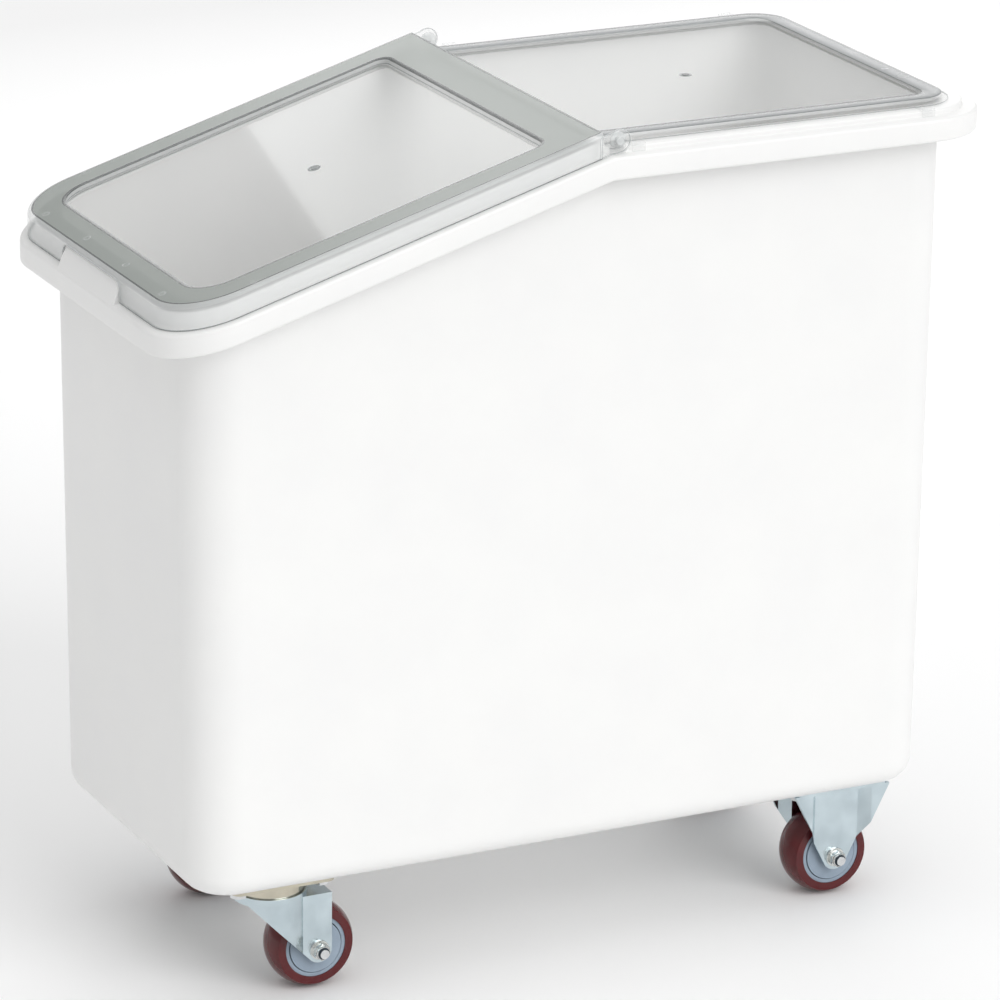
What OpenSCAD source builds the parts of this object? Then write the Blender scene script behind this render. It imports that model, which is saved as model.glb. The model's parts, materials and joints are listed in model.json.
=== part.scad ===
// Rolling flour bin: a moulded tub with a sloped front, two clear lids and four casters.
// The front end is at -X, the ridge of the rim runs along Y, and the floor is Z = 0.

/* [Tub] */
// Length over the rim
bin_length = 745; // [640:5:860]
// Width over the rim
bin_width = 382; // [350:2:460]
// Height of the wall from the underside of the tub to the rear rim flange
wall_height = 583.5; // [480:0.5:680]
// Thickness of the walls
wall = 4; // [3:0.5:6]
// Thickness of the floor
floor_thickness = 6; // [4:0.5:10]
// Draft of the walls in degrees
draft = 0.4; // [0.2:0.1:1]
// Outside radius of the upright corners at the floor
corner_radius = 40; // [32:1:50]
// Outside radius of the bottom edges
base_radius = 20; // [12:1:24]

/* [Rim] */
// Overhang of the rim beyond the wall
rim_overhang = 28; // [24:0.5:34]
// Outside radius of the rim corners
rim_radius = 60; // [52:1:72]
// Height of the rim flange
flange_height = 19.5; // [14:0.5:28]
// Rounding of the upper flange edge
ledge_round = 2.5; // [1:0.5:4]
// Skin thickness of the hollow rim
rim_skin = 3.5; // [2.5:0.5:5]
// Step from the flange face in to the lip face
ledge = 13; // [11:0.5:16]
// Height of the lip under the rear lid
rear_lip = 4.8; // [3:0.1:8]
// Position of the ridge along the length
ridge_x = 11; // [-40:1:60]
// Distance from the ridge forward to the step in the lip
lip_step = 3; // [2:0.5:4]
// Slope of the front rim in degrees
slope = 16.5; // [12:0.5:22]
// Width of the finger pad in the front rim
pad_width = 120; // [80:2:160]
// Step from the flange face in to the foot of the finger pad
pad_inset = 0.4; // [0.2:0.1:1]
// Step from the skirt face of the front lid in to the top of the finger pad
pad_lean = 2.5; // [1:0.5:4]
// Corner radius of the finger pad
pad_radius = 10; // [5:1:14]

/* [Front lid] */
// Step from the flange face in to the skirt face of the front lid
front_inset = 6.5; // [5:0.5:8]
// Height of the front lid above the ledge
front_rise = 21.5; // [19:0.5:26]
// Thickness of the front lid sheet
front_sheet = 3; // [2:0.5:4]
// Thickness of the front lid skirt
skirt_wall = 2.5; // [2:0.5:3]
// Rounding of the upper front lid edge
lid_round = 3; // [1:0.5:4]
// Gap between the rear lid and the lip under it
lid_gap = 0.3; // [0.2:0.1:0.6]
// Gap between the sunk panel of the front lid and the lip under it
panel_gap = 0.5; // [0.3:0.1:1]
// Gap between the skirt and the ledge
skirt_gap = 0.4; // [0.3:0.1:2]
// Side gap between the notch in the skirt and the finger pad
notch_gap = 2; // [1:0.5:4]
// Width of the raised band along the sides of the front lid
band_side = 29.5; // [26:0.5:40]
// Width of the raised band along the front of the front lid
band_front = 31; // [28:0.5:45]
// Width of the raised band along the back of the front lid
band_back = 38; // [30:0.5:50]
// Depth of the sunk panel in the front lid
panel_depth = 5; // [3:0.5:7]
// Radius of the front corners of the sunk panel
panel_front_radius = 28; // [12:1:40]
// Radius of the back corners of the sunk panel
panel_back_radius = 10; // [6:1:24]
// Distance from the back edge of the front lid to the ridge
back_gap = 7; // [5:0.5:10]

/* [Hinge] */
// Distance from the ridge back to the hinge axis
hinge_back = 8; // [7:0.5:12]
// Height of the hinge axis above the ledge
hinge_rise = 11.5; // [11.5:0.5:14]
// Radius of the hinge ears on the front lid
ear_radius = 10; // [8:0.5:10.5]
// Height of the ears above the face of the skirt
ear_proud = 0.5; // [0.2:0.1:1]
// Diameter of the moulded hinge pins
hinge_pin = 7; // [5:0.5:9]
// Radial clearance of the hinge pins
hinge_clearance = 0.05; // [0.02:0.01:0.1]
// Side gap between the ears and the rear lid
ear_gap = 0.9; // [0.5:0.1:1.2]

/* [Rear lid] */
// Step from the lip face in to the edge of the rear lid
rear_step = 11.5; // [9:0.5:14]
// Thickness of the rear lid sheet
rear_sheet = 2.2; // [1.8:0.2:3]
// Thickness of the hooks and hinge lugs
edge_wall = 2.2; // [1.6:0.2:2.6]
// Flat margin outside the raised bead
margin = 5.5; // [4:0.5:8]
// Width of the raised bead
bead_width = 17; // [12:1:20]
// Height of the raised bead
bead_height = 3.2; // [1.6:0.2:4]
// Reach of the tongue under the back edge of the front lid
tongue = 12; // [8:1:18]
// Height of the upstand along the tongue
upstand = 3.5; // [2:0.5:4]
// Width of each of the hooks that hold the rear lid on the lip
hook_width = 12; // [8:1:16]
// Wall of the lug round each hinge pin
lug_wall = 3.5; // [2.5:0.5:4]

/* [Casters] */
// Distance from the foot of the side walls in to the middle of the wheels
track_margin = 51.5; // [50:0.5:70]
// Distance from the foot of the front wall back to the kingpins
front_margin = 83.5; // [76:0.5:120]
// Distance from the foot of the rear wall in to the rear axles
rear_margin = 72.5; // [70:0.5:120]
// Space between the wheel and the crown of the fork
wheel_headroom = 9; // [6:0.5:14]
// Height of the swivel between the crown and the caster plate
race_height = 15; // [14:0.5:20]
// Length of the caster plates
plate_length = 92; // [86:1:100]
// Width of the caster plates
plate_width = 70; // [66:1:76]
// Thickness of the pressed steel
steel = 3; // [2.5:0.25:3.5]
// Trail of the swivel casters
trail = 35; // [28:1:38]
// Corner radius of the caster plates
plate_corner = 8; // [5:1:10]
// Radius of the swivel crown
crown_radius = 31; // [29:0.5:33]
// Radius of the ball circle
ball_circle = 24; // [22:0.5:25]
// Diameter of the balls
ball = 6; // [5:0.5:7]
// Number of balls in each swivel
ball_count = 18; // [10:1:20]
// Clearance round each ball
ball_clearance = 0.3; // [0.2:0.05:0.4]
// Height of the rolled edge of the crown
crown_edge = 4; // [3:0.5:5]
// Thickness of the rolled edge of the crown
edge_thickness = 1.7; // [1.4:0.1:2]
// Diameter of the kingpin
kingpin = 10; // [8:0.5:12]
// Height of the kingpin collar
collar_height = 6; // [4:0.5:8]
// Width across flats of the kingpin nut
kingpin_flats = 17; // [15:0.5:19]
// Radius of the legs round the axle
leg_radius = 11.5; // [10:0.5:14]
// Half width between the fork legs
leg_gap = 20.5; // [19.5:0.5:22]
// Half width of the flat face of the rigid bracket legs
leg_flat = 21; // [18:0.5:24]
// Outward flare of the rigid bracket wings
wing_flare = 10.5; // [6:0.5:11]
// Radial clearance of running fits
run_clearance = 0.05; // [0.02:0.01:0.1]

/* [Wheels] */
// Diameter over the tread
wheel_diameter = 76; // [70:1:80]
// Width of the tread
tread_width = 32; // [29:0.5:34]
// Radius of the crown across the tread
tread_crown = 32; // [26:1:60]
// Radius of the wheel core
core_radius = 27; // [25:0.5:30]
// Wall thickness of the core rim
core_rim = 3.2; // [2.6:0.2:4.4]
// Thickness of the core web
core_web = 8; // [5:0.5:10]
// Outside diameter of the bearings
bearing_diameter = 22; // [20:1:26]
// Width of each bearing
bearing_width = 7; // [6:0.5:9]
// Half width of the wheel hub
hub_half = 14.5; // [13:0.5:15.5]
// Thickness of the hub covers
cover = 1.5; // [1:0.25:2]
// Gap between the hub cover and the core rim
cover_gap = 0.8; // [0.4:0.1:1.5]
// Outside diameter of the axle spacers
spacer = 12; // [11:0.5:14]

/* [Fasteners] */
// Diameter of the axles and of the caster bolts
bolt = 8; // [6:0.5:8]
// Width across flats of the hex heads and nuts
hex_flats = 13; // [11:0.5:14]
// Height of the bolt heads
head_height = 5.3; // [4:0.1:6]
// Height of the lock nuts
nut_height = 8; // [6:0.5:9]
// Thickness of the washers
washer = 1.5; // [1:0.25:2]
// Diameter of the washers
washer_diameter = 17; // [15:0.5:20]
// Diametral clearance of the bolt holes
hole_clearance = 0.6; // [0.4:0.1:1]
// Bolt thread standing out of a nut
thread_stand = 2.4; // [1:0.2:4]
// Half spacing of the caster bolts along the bin
bolt_along = 37; // [35:0.5:38]
// Half spacing of the caster bolts across the bin
bolt_across = 22; // [20:0.5:23]

/* [Hidden] */
$fn = 72;
hull_facets = 40;
overlap = 1;
right = -1;
left = 1;

// Shares of the nut sizes
kingpin_nut_share = 0.8;
thread_share = 0.7;
bore_share = 0.8;
dome_hex_share = 0.6;
dome_share = 0.45;
dome_foot_share = 0.48;
dome_tip_share = 0.36;
lock_hex_share = 0.75;
collar_step = 1;

// Run of a bracket flank along the bin, as a share of its flare
flank_share = 0.75;

// Levels of the casters and wheels
wheel_radius = wheel_diameter / 2;
crown_low = wheel_diameter + wheel_headroom;
crown_top = crown_low + steel;
plate_low = crown_top + race_height;
caster_height = plate_low + steel;
leg_face = leg_gap + steel;
leg_tuck = 0.05;
leg_inner = leg_radius - leg_tuck;
ball_z = crown_top + ball_clearance + ball / 2;
race_gap = 0.4;
race_radius = crown_radius - edge_thickness - race_gap;
race_inner = ball_circle - ball;
collar_radius = kingpin / 2 + steel;
kingpin_nut = kingpin * kingpin_nut_share;
leg_front = [edge_thickness + steel - crown_radius, crown_top];

// Radii of the hex heads and nuts
hex_radius = hex_flats / 2 / cos(30);
kingpin_hex = kingpin_flats / 2 / cos(30);

// Levels and half sizes of the tub and rim
half_l = bin_length / 2;
half_w = bin_width / 2;
flange_z = caster_height + wall_height;
ledge_z = flange_z + flange_height;
slope_rate = tan(slope);
reach = bin_length;
tall = ledge_z + 2 * front_rise;
wall_gain = wall_height * tan(draft);
base_half_l = half_l - rim_overhang - wall_gain;
base_half_w = half_w - rim_overhang - wall_gain;
core_x = base_half_l - corner_radius;
core_y = base_half_w - corner_radius;
half_track = base_half_w - track_margin;
front_reach = base_half_l - front_margin;
rear_reach = base_half_l - rear_margin;
round_step = 1 - cos(45);

// Levels of the lids and the hinge
front_top = ledge_z + front_rise;
front_lip = front_rise - front_sheet - panel_depth - panel_gap;
rear_low = ledge_z + rear_lip + lid_gap;
rear_top = rear_low + rear_sheet;
back_x = ridge_x - back_gap;
step_x = ridge_x - lip_step;
pad_top = front_top - front_sheet - lid_gap + rim_drop(-half_l + front_inset);
pad_back = -half_l + ledge + wall;
hinge_x = ridge_x + hinge_back;
hinge_z = ledge_z + hinge_rise;
lug_inset = front_inset + skirt_wall + ear_gap;
rear_inset = ledge + rear_step;
tongue_half = half_w - rim_overhang - 2 * wall;
lug_radius = hinge_pin / 2 + lug_wall;

function rim_drop(x) = min(0, x - ridge_x) * slope_rate;

// Space below a line that follows the rim: level at the ridge for the front, level for the rear
module below(front, rear, change_x = ridge_x) {
    meet = front + rim_drop(change_x);
    step_point = meet == rear ? [] : [[change_x, meet]];
    rotate([90, 0, 0])
        linear_extrude(height = 2 * bin_width, center = true)
            polygon(concat(
                [[-reach, 0], [reach, 0], [reach, rear], [change_x, rear]],
                step_point,
                [[-reach, front + rim_drop(-reach)]]));
}

// Band between two lines that follow the front slope
module slope_band(low, high) {
    rotate([90, 0, 0])
        linear_extrude(height = 2 * bin_width, center = true)
            polygon([
                [-reach, low + rim_drop(-reach)],
                [ridge_x, low],
                [ridge_x, high],
                [-reach, high + rim_drop(-reach)]]);
}

// Rectangle from one X to another, with round corners of one radius at each end
module rounded_plan(x0, x1, half_y, r0, r1) {
    polygon([
        [x0 + r0, -half_y],
        [x1 - r1, -half_y],
        [x1, -half_y + r1],
        [x1, half_y - r1],
        [x1 - r1, half_y],
        [x0 + r0, half_y],
        [x0, half_y - r0],
        [x0, -half_y + r0]]);
    for (y = [-half_y + r0, half_y - r0])
        translate([x0 + r0, y])
            circle(r0);
    for (y = [-half_y + r1, half_y - r1])
        translate([x1 - r1, y])
            circle(r1);
}

// Outline of the rim, moved in from the flange face
module rim_plan(inset) {
    r = rim_radius - inset;
    rounded_plan(-half_l + inset, half_l - inset, half_w - inset, r, r);
}

module plan_in_front_of(x) {
    intersection() {
        children();
        translate([-reach, -bin_width])
            square([reach + x, 2 * bin_width]);
    }
}

module plan_behind(x) {
    intersection() {
        children();
        translate([x, -bin_width])
            square([reach, 2 * bin_width]);
    }
}

// Half section of the drafted wall with its round bottom edge
module wall_section(inset, floor_at) {
    edge = base_radius - inset;
    edge_z = floor_at + edge;
    wall_at = corner_radius - inset / cos(draft);
    edge_r = wall_at + (edge_z - caster_height) * tan(draft) - edge / cos(draft);
    round_end = [edge_r + edge * cos(draft), edge_z - edge * sin(draft)];
    polygon([
        [0, floor_at],
        [edge_r, floor_at],
        [edge_r, edge_z],
        round_end,
        [wall_at + (tall - caster_height) * tan(draft), tall],
        [0, tall]]);
    intersection() {
        translate([edge_r, edge_z])
            circle(edge);
        polygon([
            [edge_r, edge_z],
            [edge_r, floor_at - edge],
            [edge_r + 2 * edge, floor_at - edge],
            2 * round_end - [edge_r, edge_z]]);
    }
}

module wall_prism(half_span, inset, floor_at) {
    for (m = [0, 1])
        mirror([m, 0]) {
            translate([half_span, 0])
                wall_section(inset, floor_at);
            translate([0, floor_at])
                square([half_span + overlap, tall - floor_at]);
        }
}

// Drafted box with round corners, the outside or the inside of the tub
module tub_form(inset, floor_at) {
    rotate([90, 0, 0])
        linear_extrude(height = 2 * core_y, center = true)
            wall_prism(core_x, inset, floor_at);
    rotate([90, 0, 90])
        linear_extrude(height = 2 * core_x, center = true)
            wall_prism(core_y, inset, floor_at);
    for (mx = [0, 1], my = [0, 1])
        mirror([mx, 0, 0])
            mirror([0, my, 0])
                translate([core_x, core_y, 0])
                    rotate_extrude(angle = 90)
                        wall_section(inset, floor_at);
}

// Slab of an outline between two levels at the ridge, laid level or along the front slope
module laid_slab(low, high, rate) {
    multmatrix([
        [1, 0, 0, 0],
        [0, 1, 0, 0],
        [rate, 0, 1, low - rate * ridge_x],
        [0, 0, 0, 1]])
        linear_extrude(height = high - low)
            children();
}

// Drop and inset of each step of a round upper edge
function edge_steps(r) = [[r, 0], [r * round_step, r * round_step], [0, r]];

// Rim flange with a round upper edge that follows the slope and the ridge
module flange() {
    difference() {
        hull()
            for (s = edge_steps(ledge_round)) {
                low = flange_z - overlap + s[1];
                laid_slab(low, ledge_z - s[0], slope_rate)
                    plan_in_front_of(ridge_x)
                        rim_plan(s[1], $fn = hull_facets);
                laid_slab(low, ledge_z - s[0], 0)
                    plan_behind(half_l - rim_radius)
                        rim_plan(s[1], $fn = hull_facets);
            }
        below(flange_z, flange_z);
    }
}

// Face of the finger pad, with round upper corners
module pad_face(shrink) {
    half = pad_width / 2 - shrink;
    r = pad_radius - shrink / 2;
    top = pad_top - shrink;
    low = flange_z + rim_drop(-half_l) + flange_height / 2;
    translate([-half, low])
        square([2 * half, top - low - r]);
    translate([-half + r, low])
        square([2 * half - 2 * r, top - low]);
    for (y = [-half + r, half - r])
        translate([y, top - r])
            circle(r);
}

// Side view of the finger pad: a face that leans in from the flange to the lid
module pad_side(shrink) {
    foot = -half_l + pad_inset + shrink;
    head = -half_l + front_inset + pad_lean + shrink;
    polygon([
        [foot, flange_z + rim_drop(-half_l)],
        [foot, ledge_z + rim_drop(-half_l) - ledge_round],
        [head, pad_top],
        [head, tall],
        [pad_back, tall],
        [pad_back, flange_z + rim_drop(-half_l)]]);
}

// Lip that the lids sit on, with the finger pad, as a solid
module lip_form(shrink) {
    intersection() {
        linear_extrude(height = tall)
            rim_plan(ledge + shrink);
        below(ledge_z + front_lip - shrink, ledge_z + rear_lip - shrink, step_x - shrink);
    }
    intersection() {
        translate([-half_l, 0, 0])
            rotate([90, 0, 90])
                linear_extrude(height = half_l + pad_back)
                    pad_face(shrink);
        rotate([90, 0, 0])
            linear_extrude(height = pad_width + 2 * overlap, center = true)
                pad_side(shrink);
    }
}

module at_caster_bolts() {
    for (x = [-front_reach, rear_reach], y = [-half_track, half_track])
        for (dx = [-bolt_along, bolt_along], dy = [-bolt_across, bolt_across])
            translate([x + dx, y + dy, 0])
                children();
}

module tub() {
    color("white")
        difference() {
            union() {
                flange();
                difference() {
                    lip_form(0);
                    below(ledge_z - rim_skin, ledge_z - rim_skin);
                }
                intersection() {
                    tub_form(0, caster_height);
                    below(ledge_z + front_lip, ledge_z + rear_lip, step_x);
                }
            }
            difference() {
                union() {
                    intersection() {
                        linear_extrude(height = tall)
                            rim_plan(rim_skin);
                        below(ledge_z - rim_skin, ledge_z - rim_skin);
                    }
                    lip_form(rim_skin);
                }
                tub_form(0, caster_height);
            }
            tub_form(wall, caster_height + floor_thickness);
            at_caster_bolts()
                translate([0, 0, caster_height - overlap])
                    cylinder(d = bolt + hole_clearance, h = floor_thickness + 2 * overlap);
        }
}

// Sunk panel of the front lid
module panel_plan(grow) {
    rounded_plan(
        -half_l + front_inset + band_front - grow,
        back_x - band_back + grow,
        half_w - front_inset - band_side + grow,
        panel_front_radius + grow,
        panel_back_radius + grow);
}

module notch_face() {
    half = pad_width / 2 + notch_gap;
    r = pad_radius;
    top = front_top - front_sheet + rim_drop(-half_l + front_inset + skirt_wall + 2 * overlap);
    low = flange_z + rim_drop(-half_l);
    translate([-half, low])
        square([2 * half, top - low - r]);
    translate([-half + r, low])
        square([2 * half - 2 * r, top - low]);
    for (y = [-half + r, half - r])
        translate([y, top - r])
            circle(r);
}

// Side view of a hinge ear, joined to the end of the skirt
module ear_face() {
    root_x = back_x - lid_round;
    translate([hinge_x, hinge_z])
        circle(ear_radius);
    polygon([
        [root_x, ledge_z + skirt_gap + rim_drop(root_x)],
        [ridge_x, ledge_z + skirt_gap],
        [hinge_x, hinge_z - ear_radius],
        [hinge_x, hinge_z + ear_radius],
        [root_x, front_top - lid_round + rim_drop(root_x)]]);
}

module front_lid() {
    color([0.85, 0.88, 0.87, 0.5])
        difference() {
            union() {
                difference() {
                    hull()
                        for (s = edge_steps(lid_round))
                            laid_slab(ledge_z + skirt_gap + s[1], front_top - s[0], slope_rate)
                                plan_in_front_of(back_x)
                                    rim_plan(front_inset + s[1], $fn = hull_facets);
                    intersection() {
                        linear_extrude(height = tall)
                            rim_plan(front_inset + skirt_wall);
                        below(front_top - front_sheet, front_top - front_sheet);
                    }
                }
                intersection() {
                    linear_extrude(height = tall)
                        panel_plan(skirt_wall);
                    slope_band(front_top - panel_depth - front_sheet, front_top - front_sheet / 2);
                }
                for (side = [right, left])
                    translate([0, side * (half_w - front_inset - skirt_wall / 2 + ear_proud / 2), 0])
                        rotate([90, 0, 0])
                            linear_extrude(height = skirt_wall + ear_proud, center = true)
                                ear_face();
            }
            intersection() {
                linear_extrude(height = tall)
                    panel_plan(0);
                slope_band(front_top - panel_depth, front_top + panel_depth);
            }
            translate([-half_l, 0, 0])
                rotate([90, 0, 90])
                    linear_extrude(height = front_inset + skirt_wall + overlap)
                        notch_face();
            translate([hinge_x, 0, hinge_z])
                rotate([90, 0, 0])
                    cylinder(d = hinge_pin + 2 * hinge_clearance, h = bin_width, center = true);
        }
}

// Side view of a hinge lug that stands on the edge of the rear lid
module lug_face() {
    translate([hinge_x, hinge_z])
        circle(lug_radius);
    translate([hinge_x - lug_radius, ledge_z + lid_gap])
        square([2 * lug_radius, hinge_z - ledge_z - lid_gap]);
}

// Outline of the rear lid, moved in from its edge
module rear_plan(inset) {
    plan_behind(step_x + ear_gap)
        rim_plan(rear_inset + inset);
}

// Arm from the edge of the rear lid out over the lip, at one X
module edge_arm(x, wide) {
    arm_y = half_w - rear_inset - overlap;
    translate([x - wide / 2, arm_y, rear_low])
        cube([wide, half_w - lug_inset - arm_y, rear_sheet]);
}

module rear_lid() {
    edge_y = half_w - lug_inset;
    hook_low = ledge_z + lid_gap;
    hook_places = [hinge_x + lug_radius + hook_width, half_l - rim_radius - hook_width / 2];
    color([0.85, 0.88, 0.87, 0.5])
        difference() {
            union() {
                translate([0, 0, rear_low])
                    linear_extrude(height = rear_sheet)
                        rear_plan(0);
                translate([0, 0, rear_low + rear_sheet / 2])
                    linear_extrude(height = rear_sheet / 2 + bead_height)
                        difference() {
                            rear_plan(margin);
                            rear_plan(margin + bead_width);
                        }
                translate([step_x - tongue, -tongue_half, rear_low])
                    cube([tongue + 2 * overlap, 2 * tongue_half, rear_sheet]);
                translate([step_x - tongue, -tongue_half, rear_low])
                    cube([rear_sheet, 2 * tongue_half, rear_sheet + upstand]);
                for (m = [0, 1])
                    mirror([0, m, 0]) {
                        edge_arm(hinge_x, 2 * lug_radius);
                        translate([0, edge_y, 0])
                            rotate([90, 0, 0])
                                linear_extrude(height = edge_wall)
                                    lug_face();
                        translate([hinge_x, edge_y - overlap, hinge_z])
                            rotate([-90, 0, 0])
                                cylinder(d = hinge_pin, h = overlap + ear_gap + skirt_wall + ear_proud);
                        for (x = hook_places) {
                            edge_arm(x, hook_width);
                            translate([x - hook_width / 2, edge_y - edge_wall, hook_low])
                                cube([hook_width, edge_wall, rear_top - hook_low]);
                        }
                    }
            }
            translate([0, 0, rear_low - overlap])
                linear_extrude(height = overlap + bead_height)
                    plan_behind(step_x + ear_gap + rear_sheet)
                        difference() {
                            rear_plan(margin + rear_sheet);
                            rear_plan(margin + bead_width - rear_sheet);
                        }
        }
}

// Fasteners of the caster plates, through the tub floor
module caster_bolts() {
    shank = steel + floor_thickness + washer + nut_height * thread_share;
    color("silver")
        at_caster_bolts() {
            translate([0, 0, plate_low - head_height])
                cylinder(r = hex_radius, h = head_height, $fn = 6);
            translate([0, 0, plate_low - overlap])
                cylinder(d = bolt, h = shank + overlap);
        }
}

module caster_washers() {
    color("gainsboro")
        at_caster_bolts()
            translate([0, 0, caster_height + floor_thickness])
                difference() {
                    cylinder(d = washer_diameter, h = washer);
                    translate([0, 0, -overlap])
                        cylinder(d = bolt + hole_clearance, h = washer + 2 * overlap);
                }
}

module caster_dome_nuts() {
    low = caster_height + floor_thickness + washer;
    deep = nut_height * bore_share;
    hex_part = nut_height * dome_hex_share;
    color("silver")
        at_caster_bolts()
            translate([0, 0, low])
                difference() {
                    union() {
                        cylinder(r = hex_radius, h = hex_part, $fn = 6);
                        translate([0, 0, hex_part])
                            cylinder(
                                r1 = hex_flats * dome_foot_share,
                                r2 = hex_flats * dome_tip_share,
                                h = nut_height * dome_share);
                    }
                    translate([0, 0, -overlap])
                        cylinder(d = bolt + 2 * run_clearance, h = deep + overlap);
                }
}

// Caster plate with its four bolt holes
module plate_blank() {
    half_plate = plate_length / 2;
    translate([0, 0, plate_low])
        difference() {
            linear_extrude(height = steel)
                rounded_plan(-half_plate, half_plate, plate_width / 2, plate_corner, plate_corner);
            for (x = [-bolt_along, bolt_along], y = [-bolt_across, bolt_across])
                translate([x, y, -overlap])
                    cylinder(d = bolt + hole_clearance, h = steel + 2 * overlap);
        }
}

// Upper race pressed on the plate, with the groove for the balls
module swivel_plate() {
    color("lightgoldenrodyellow")
        difference() {
            union() {
                plate_blank();
                rotate_extrude()
                    difference() {
                        translate([race_inner, ball_z])
                            square([race_radius - race_inner, plate_low - ball_z + overlap]);
                        translate([ball_circle, ball_z])
                            circle(ball / 2 + ball_clearance);
                    }
            }
            translate([0, 0, plate_low - overlap])
                cylinder(d = kingpin + 2 * run_clearance, h = steel + 2 * overlap);
        }
}

module kingpin_piece() {
    low = crown_low - washer - kingpin_nut - thread_stand;
    color("silver") {
        translate([0, 0, low])
            cylinder(d = kingpin, h = caster_height - ball_clearance - low);
        translate([0, 0, plate_low - collar_height])
            cylinder(r = collar_radius, h = collar_height);
    }
}

module kingpin_nut_piece() {
    color("gainsboro")
        translate([0, 0, crown_low - washer - kingpin_nut - ball_clearance])
            difference() {
                union() {
                    cylinder(r = kingpin_hex, h = kingpin_nut, $fn = 6);
                    translate([0, 0, kingpin_nut])
                        cylinder(r = kingpin_hex + washer, h = washer);
                }
                translate([0, 0, -overlap])
                    cylinder(d = kingpin + 2 * run_clearance, h = kingpin_nut + washer + 2 * overlap);
            }
}

// Outline of the pressed fork seen from above: round crown and two straight legs
module fork_plan(inset) {
    circle(crown_radius - inset);
    translate([0, -leg_face + inset])
        square([trail + leg_radius + overlap, 2 * (leg_face - inset)]);
}

// Side view of the fork: slanted front edge, upright rear edge, round axle boss
module fork_side() {
    axle_at = [trail, wheel_radius];
    run = axle_at - leg_front;
    lean = atan2(-run[1], run[0]);
    tangent = asin(leg_inner / norm(run));
    turn = -90 - lean - tangent;
    translate(axle_at)
        circle(leg_radius);
    polygon([
        [-crown_radius - overlap, crown_top],
        [-crown_radius - overlap, crown_low],
        leg_front - [0, steel],
        axle_at + leg_inner * [cos(turn), sin(turn)],
        axle_at + [leg_inner, 0],
        [trail + leg_inner, crown_top]]);
}

module swivel_fork() {
    color("lightsteelblue") {
        difference() {
            intersection() {
                linear_extrude(height = caster_height)
                    fork_plan(0);
                rotate([90, 0, 0])
                    linear_extrude(height = 2 * plate_width, center = true)
                        fork_side();
            }
            linear_extrude(height = crown_low)
                fork_plan(steel);
            translate([trail, -leg_gap, 0])
                cube([leg_radius + 2 * overlap, 2 * leg_gap, crown_low]);
            translate([0, 0, crown_low - overlap])
                cylinder(d = kingpin + 2 * run_clearance, h = steel + 2 * overlap);
            translate([trail, 0, wheel_radius])
                rotate([90, 0, 0])
                    cylinder(d = bolt + 2 * run_clearance, h = plate_width, center = true);
        }
        translate([0, 0, crown_top - steel / 2])
            difference() {
                cylinder(r = crown_radius, h = steel / 2 + crown_edge);
                translate([0, 0, -overlap])
                    cylinder(r = crown_radius - edge_thickness, h = steel + crown_edge + 2 * overlap);
            }
    }
}

module race_balls() {
    color("dimgray")
        for (i = [0 : ball_count - 1])
            rotate([0, 0, i * 360 / ball_count])
                translate([ball_circle, 0, ball_z])
                    sphere(d = ball);
}

// Section of one bracket leg seen from above: flat middle, slanted flanks, outer wings
module leg_plan() {
    half_flank = leg_flat + wing_flare * flank_share;
    half_wing = plate_length / 2;
    wing = leg_face + wing_flare;
    polygon([
        [-half_wing, -wing],
        [-half_flank, -wing],
        [-leg_flat, -leg_face],
        [leg_flat, -leg_face],
        [half_flank, -wing],
        [half_wing, -wing],
        [half_wing, -wing + steel],
        [half_flank - steel / 2, -wing + steel],
        [leg_flat - steel / 2, -leg_gap],
        [-leg_flat + steel / 2, -leg_gap],
        [-half_flank + steel / 2, -wing + steel],
        [-half_wing, -wing + steel]]);
}

// Side view of the bracket leg: a wide V that ends in a round axle boss
module bracket_side() {
    axle_at = [0, wheel_radius];
    corner = [plate_length / 2, plate_low];
    run = corner - axle_at;
    turn = atan2(run[1], run[0]) - acos(leg_inner / norm(run));
    translate(axle_at)
        circle(leg_radius);
    polygon([
        [-corner[0], corner[1] + overlap],
        [-corner[0], corner[1]],
        axle_at + leg_inner * [-cos(turn), sin(turn)],
        axle_at + leg_inner * [cos(turn), sin(turn)],
        corner,
        [corner[0], corner[1] + overlap]]);
}

module rigid_bracket() {
    color("lightsteelblue") {
        plate_blank();
        for (m = [0, 1])
            mirror([0, m, 0])
                difference() {
                    intersection() {
                        linear_extrude(height = plate_low + steel / 2)
                            leg_plan();
                        rotate([90, 0, 0])
                            linear_extrude(height = 2 * plate_width, center = true)
                                bracket_side();
                    }
                    translate([0, 0, wheel_radius])
                        rotate([90, 0, 0])
                            cylinder(d = bolt + 2 * run_clearance, h = plate_width);
                }
    }
}

// Axle bolt with its head on the inner side of the caster
module axle() {
    outer_end = leg_face + washer + nut_height + thread_stand;
    color("silver")
        rotate([90, 0, 0]) {
            translate([0, 0, -leg_face])
                cylinder(d = bolt, h = leg_face + outer_end);
            translate([0, 0, -leg_face - head_height])
                cylinder(r = hex_radius, h = head_height, $fn = 6);
        }
}

// Lock nut with its washer on the outer side of the caster
module lock_nut() {
    color("gainsboro")
        rotate([90, 0, 0])
            translate([0, 0, leg_face])
                difference() {
                    union() {
                        cylinder(d = washer_diameter, h = washer);
                        translate([0, 0, washer])
                            cylinder(r = hex_radius, h = nut_height * lock_hex_share, $fn = 6);
                        translate([0, 0, washer])
                            cylinder(d = hex_flats - collar_step, h = nut_height);
                    }
                    translate([0, 0, -overlap])
                        cylinder(d = bolt + 2 * run_clearance, h = washer + nut_height + 2 * overlap);
                }
}

// Tube of a given length along the axle
module axle_tube(from, to, outer, inner) {
    rotate([90, 0, 0])
        translate([0, 0, from])
            difference() {
                cylinder(d = outer, h = to - from);
                translate([0, 0, -overlap])
                    cylinder(d = inner, h = to - from + 2 * overlap);
            }
}

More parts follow.
